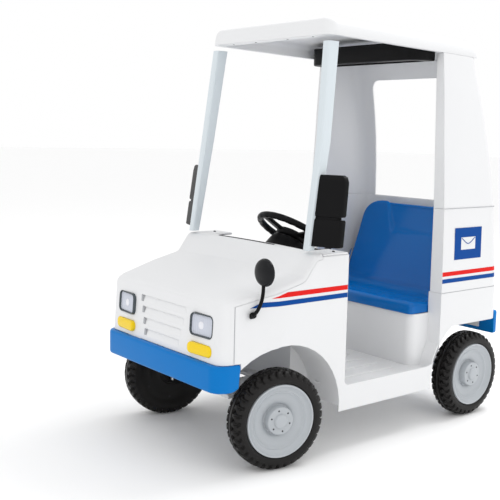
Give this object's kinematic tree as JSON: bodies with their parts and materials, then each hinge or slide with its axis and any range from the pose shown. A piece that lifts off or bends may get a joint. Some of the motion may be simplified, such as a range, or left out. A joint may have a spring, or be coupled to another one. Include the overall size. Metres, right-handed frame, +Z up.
{
  "type": "ride-on mail delivery truck",
  "caption": "Child's open-cab ride-on mail truck with steered front wheels, driven rear wheel, bench seat, roof and mirrors.",
  "frame": {"origin": "on the floor, at the middle of the truck's length and width", "axes": "+Z up; the truck faces -Y; +X is the driver's left"},
  "size_m": [0.598, 0.953, 0.9997],
  "materials": {
    "white_plastic": "gloss moulded",
    "pillar_plastic": "gloss moulded",
    "black_plastic": "satin moulded",
    "blue_plastic": "gloss moulded",
    "seat_plastic": "high gloss moulded",
    "grey_plastic": "satin moulded",
    "bezel_plastic": "metallic",
    "lamp_lens": "clear over silver",
    "amber_lens": "gloss",
    "tyre_plastic": "moulded tread",
    "mirror_foil": "mirrored film",
    "steel": "zinc plated",
    "battery_case": "satin",
    "strap_webbing": "woven"
  },
  "bodies": {
    "chassis": {"hood_fascia": "white_plastic", "lower_body": "white_plastic", "rear_mid_body": "white_plastic", "rear_upper_body": "white_plastic", "roof": "white_plastic", "a_pillar_left": "pillar_plastic", "a_pillar_right": "pillar_plastic", "overhead_console": "black_plastic", "side_mirror_left": "black_plastic", "mirror_pane_left": "mirror_foil", "side_mirror_right": "black_plastic", "mirror_pane_right": "mirror_foil", "fender_mirror": "black_plastic", "fender_mirror_pane": "mirror_foil", "headlight_bezel_left": "bezel_plastic", "headlight_lens_left": "lamp_lens", "turn_signal_left": "amber_lens", "headlight_bezel_right": "bezel_plastic", "headlight_lens_right": "lamp_lens", "turn_signal_right": "amber_lens", "front_bumper": "blue_plastic", "rear_bumper": "blue_plastic", "seat": "seat_plastic", "dashboard": "black_plastic", "steering_boot": "black_plastic", "column_bushing": "grey_plastic", "front_axle_beam": "black_plastic", "kingpin_left": "steel", "kingpin_right": "steel", "rear_axle": "steel", "rear_axle_bracket_left": "steel", "rear_axle_bracket_right": "steel", "wheel_nut_rear_left": "steel", "wheel_nut_rear_right": "steel", "gearbox_housing": "black_plastic", "drive_motor": "steel", "battery": "battery_case", "battery_strap": "strap_webbing", "pedal_spring": "steel", "pedal_switch": "black_plastic", "charge_socket": "black_plastic"},
    "steering": {"steering_wheel": "black_plastic", "steering_column": "steel"},
    "horn": {"horn_button": "grey_plastic"},
    "tie_rod": {"tie_rod": "steel"},
    "left_knuckle": {"steering_knuckle_left": "steel", "wheel_nut_front_left": "steel"},
    "right_knuckle": {"steering_knuckle_right": "steel", "wheel_nut_front_right": "steel"},
    "front_left_wheel": {"wheel_front_left": "tyre_plastic", "wheel_cover_front_left": "grey_plastic"},
    "front_right_wheel": {"wheel_front_right": "tyre_plastic", "wheel_cover_front_right": "grey_plastic"},
    "rear_left_wheel": {"wheel_rear_left": "tyre_plastic", "wheel_cover_rear_left": "grey_plastic"},
    "rear_right_wheel": {"wheel_rear_right": "tyre_plastic", "wheel_cover_rear_right": "grey_plastic", "drive_coupler": "grey_plastic"},
    "pedal": {"accelerator_pedal": "black_plastic"},
    "direction_rocker": {"direction_switch": "grey_plastic"}
  },
  "joints": [
    {"name": "steering_turn", "type": "hinge", "parent": "chassis", "child": "steering", "pos_m": [0, -0.069, 0.4835], "axis": [0, 0.5402, 0.8415], "range_deg": [-14, 44.6]},
    {"name": "left_knuckle_turn", "type": "hinge", "parent": "chassis", "child": "left_knuckle", "pos_m": [0.184, -0.304, 0.11104], "axis": [0, 0, 1], "range_deg": [-10.5, 33.5]},
    {"name": "right_knuckle_turn", "type": "hinge", "parent": "chassis", "child": "right_knuckle", "pos_m": [-0.184, -0.304, 0.11104], "axis": [0, 0, 1], "range_deg": [-10.5, 33.5]},
    {"name": "tie_rod_slide", "type": "slide", "parent": "chassis", "child": "tie_rod", "axis": [1, 0, 0], "range_m": [-0.0195, 0.0062]},
    {"name": "horn_press", "type": "slide", "parent": "steering", "child": "horn", "axis": [0, -0.5402, -0.8415], "range_m": [0, 0.0008], "stiffness_N_per_m": 400, "springref_m": -0.002},
    {"name": "front_left_spin", "type": "hinge", "parent": "left_knuckle", "child": "front_left_wheel", "pos_m": [0.184, -0.304, 0.11104], "axis": [0.9799, -0.1994, 0], "continuous": true},
    {"name": "front_right_spin", "type": "hinge", "parent": "right_knuckle", "child": "front_right_wheel", "pos_m": [-0.184, -0.304, 0.11104], "axis": [0.9799, -0.1994, 0], "continuous": true},
    {"name": "rear_left_spin", "type": "hinge", "parent": "chassis", "child": "rear_left_wheel", "pos_m": [0.183, 0.348, 0.11104], "axis": [1, 0, 0], "continuous": true},
    {"name": "rear_right_spin", "type": "hinge", "parent": "chassis", "child": "rear_right_wheel", "pos_m": [-0.183, 0.348, 0.11104], "axis": [1, 0, 0], "continuous": true},
    {"name": "pedal_press", "type": "hinge", "parent": "chassis", "child": "pedal", "pos_m": [-0.07, -0.06927, 0.16273], "axis": [1, 0, 0], "range_deg": [0, 21], "stiffness_Nm_per_rad": 0.6, "springref_deg": -11.46, "deforming": ["pedal_spring"]},
    {"name": "direction_rock", "type": "hinge", "parent": "chassis", "child": "direction_rocker", "pos_m": [-0.105, -0.13, 0.436], "axis": [1, 0, 0], "range_deg": [-8, 8]}
  ],
  "couplings": [
    {"joint": "left_knuckle_turn", "follows": "steering_turn", "ratio": 0.75},
    {"joint": "right_knuckle_turn", "follows": "steering_turn", "ratio": 0.75},
    {"joint": "tie_rod_slide", "follows": "steering_turn", "m_per_rad": -0.0249}
  ]
}
